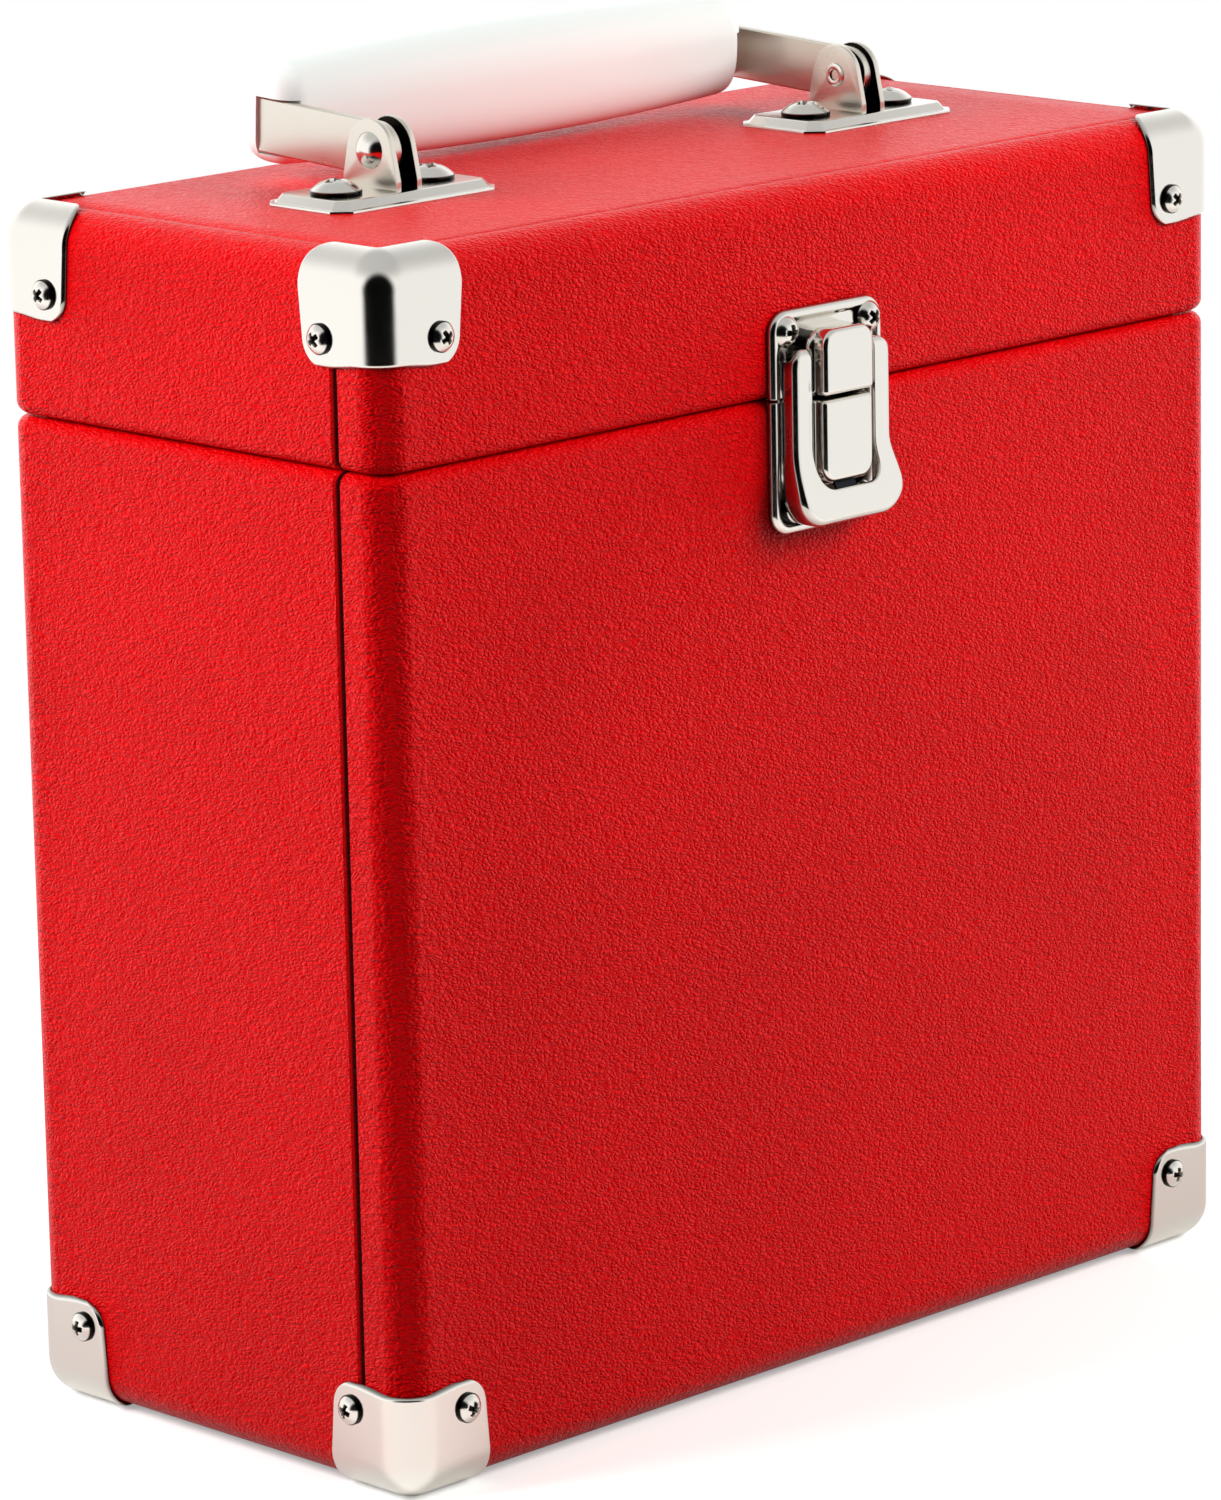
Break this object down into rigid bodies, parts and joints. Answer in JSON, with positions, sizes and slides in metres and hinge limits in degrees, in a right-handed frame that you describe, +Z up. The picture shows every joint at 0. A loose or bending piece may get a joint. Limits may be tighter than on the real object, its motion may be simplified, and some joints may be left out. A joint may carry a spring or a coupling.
{
  "type": "record carrying case",
  "caption": "Upright carrying case for 7-inch records, covered in leatherette, with a rear-hinged lid, sprung hasp latch, folding handle and metal corner brackets.",
  "frame": {"origin": "centre of the object's footprint, at the level on which the corner brackets stand", "axes": "+Z up, -Y towards the latch side, +X to the right as the latch side is seen"},
  "size_m": [0.2154, 0.1078, 0.2371],
  "materials": {
    "leatherette": "grained vinyl leatherette, satin",
    "front_leatherette": "grained vinyl leatherette, satin",
    "board": "pressed fibreboard",
    "lining": "black paper-backed lining",
    "nickel": "bright nickel plate",
    "fasteners": "bright nickel plate",
    "strap": "bright nickel plate",
    "spring": "spring steel",
    "grip": "glossy white"
  },
  "bodies": {
    "case_body": {"body_front_board": "board", "body_back_board": "board", "body_left_board": "board", "body_right_board": "board", "body_floor_board": "board", "body_cover": "leatherette", "body_front_cover": "front_leatherette", "body_lining": "lining", "inner_lip": "lining", "body_bracket_front_left": "nickel", "body_bracket_front_right": "nickel", "body_bracket_back_left": "nickel", "body_bracket_back_right": "nickel", "body_bracket_screws": "fasteners", "latch_body_plate": "nickel", "latch_keeper": "nickel", "latch_body_screws": "fasteners", "hinge_body_leaf_left": "nickel", "hinge_body_leaf_right": "nickel", "hinge_pin_left": "fasteners", "hinge_pin_right": "fasteners", "hinge_body_screws": "fasteners"},
    "lid": {"lid_front_board": "board", "lid_back_board": "board", "lid_left_board": "board", "lid_right_board": "board", "lid_top_board": "board", "lid_cover": "leatherette", "lid_front_cover": "front_leatherette", "lid_lining": "lining", "lid_bracket_front_left": "nickel", "lid_bracket_front_right": "nickel", "lid_bracket_back_left": "nickel", "lid_bracket_back_right": "nickel", "lid_bracket_screws": "fasteners", "latch_lid_plate": "nickel", "latch_hinge_housing": "nickel", "latch_hasp_pin": "fasteners", "latch_lid_screws": "fasteners", "handle_plate_left": "nickel", "handle_plate_right": "nickel", "handle_ears_left": "nickel", "handle_ears_right": "nickel", "handle_rivet_left": "fasteners", "handle_rivet_right": "fasteners", "handle_plate_screws": "fasteners", "hinge_lid_leaf_left": "nickel", "hinge_lid_leaf_right": "nickel", "hinge_lid_screws": "fasteners"},
    "hasp": {"latch_hasp": "nickel", "latch_catch_spring": "spring"},
    "handle": {"handle_strap": "strap", "handle_grip": "grip"}
  },
  "joints": [
    {"name": "lid_hinge", "type": "hinge", "parent": "case_body", "child": "lid", "pos_m": [0, 0.05173, 0.1774], "axis": [-1, 0, 0], "range_deg": [0, 160]},
    {"name": "hasp_hinge", "type": "hinge", "parent": "lid", "child": "hasp", "pos_m": [0, -0.04913, 0.1843], "axis": [-1, 0, 0], "range_deg": [0, 135], "deforming": ["latch_catch_spring"]},
    {"name": "handle_pivot", "type": "hinge", "parent": "lid", "child": "handle", "pos_m": [0, 0.00193, 0.2222], "axis": [1, 0, 0], "range_deg": [0, 160]}
  ]
}
